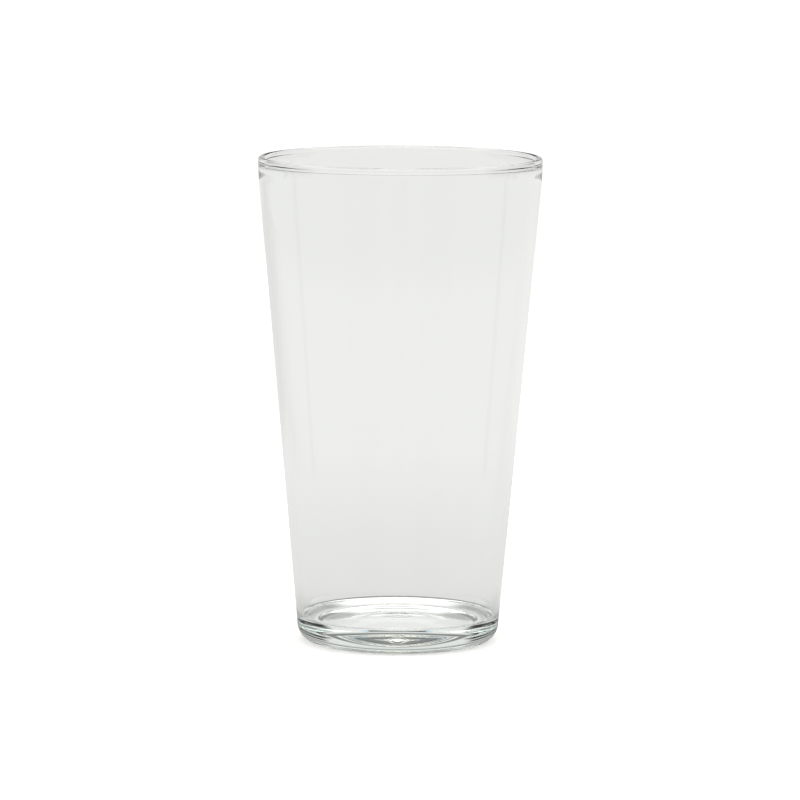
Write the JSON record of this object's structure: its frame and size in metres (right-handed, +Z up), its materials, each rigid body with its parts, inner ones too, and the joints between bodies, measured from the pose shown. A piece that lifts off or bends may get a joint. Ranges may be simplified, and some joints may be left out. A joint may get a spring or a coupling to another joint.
{
  "type": "mixing glass",
  "caption": "Plain conical bar mixing glass in clear glass, with a rounded rim and a thick foot, for stirring and shaking drinks.",
  "frame": {"origin": "centre of the foot, in the plane that the glass stands on", "axes": "+Z up along the glass's axis from foot to rim; X and Y are equivalent, because the glass is round"},
  "size_m": [0.088, 0.088, 0.15],
  "materials": {
    "clear_glass": "clear, fire-polished, faintly grey-green in thick parts"
  },
  "bodies": {
    "root": {"glass": "clear_glass"}
  },
  "joints": []
}
